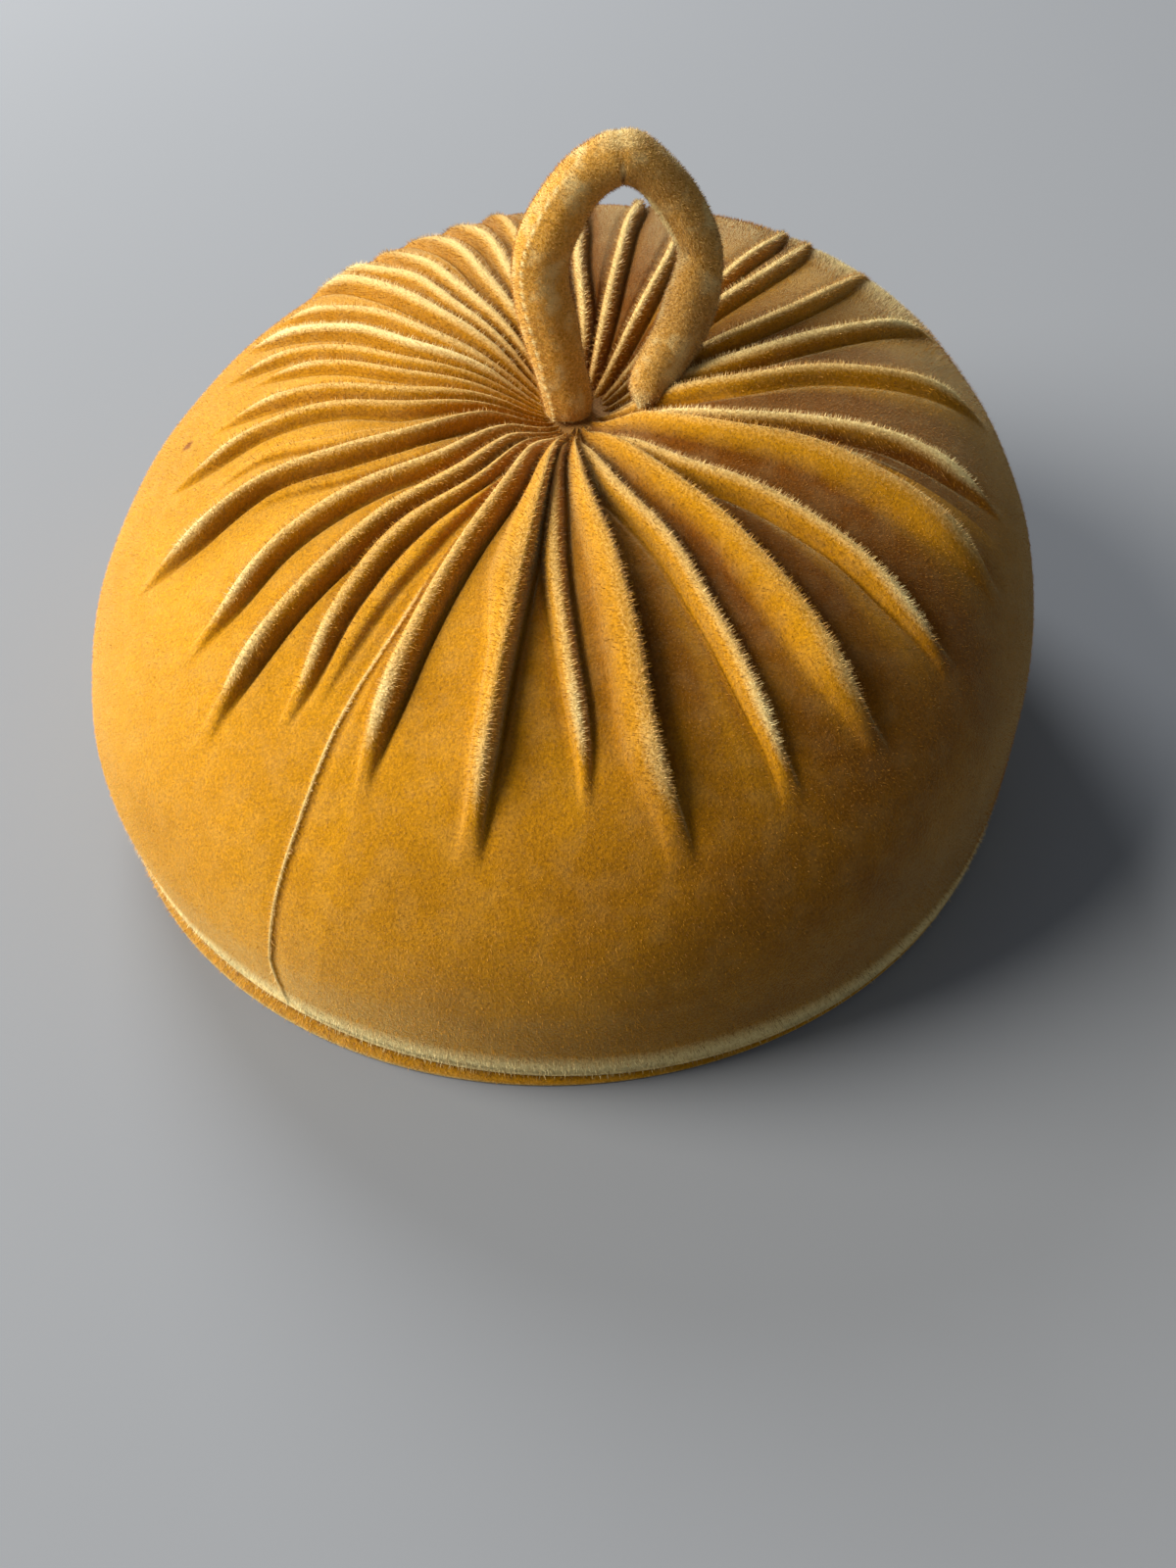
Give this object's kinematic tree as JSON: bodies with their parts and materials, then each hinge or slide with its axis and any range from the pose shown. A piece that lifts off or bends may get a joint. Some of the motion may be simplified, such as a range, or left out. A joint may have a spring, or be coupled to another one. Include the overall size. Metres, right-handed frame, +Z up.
{
  "type": "turban hat",
  "caption": "Soft bun-shaped turban hat in gathered velvet, with a dimpled top, a loop stem on the gather and a flat band turned up round an open head hollow.",
  "frame": {"origin": "on the surface that the band's flat bottom rests on, under the middle of the hat", "axes": "+Z up through the crown; +Y the long way of the head, towards the side where the top stands higher; +X to the side where the loop's tip lies"},
  "size_m": [0.2475, 0.273, 0.1541],
  "materials": {
    "crown_velvet": "golden mustard velvet with a soft pale sheen",
    "band_velvet": "the same velvet, turned under the crown",
    "stem_velvet": "the same velvet on a stuffed tube"
  },
  "bodies": {
    "root": {"crown": "crown_velvet", "under_band": "band_velvet", "stem_loop": "stem_velvet"}
  },
  "joints": []
}
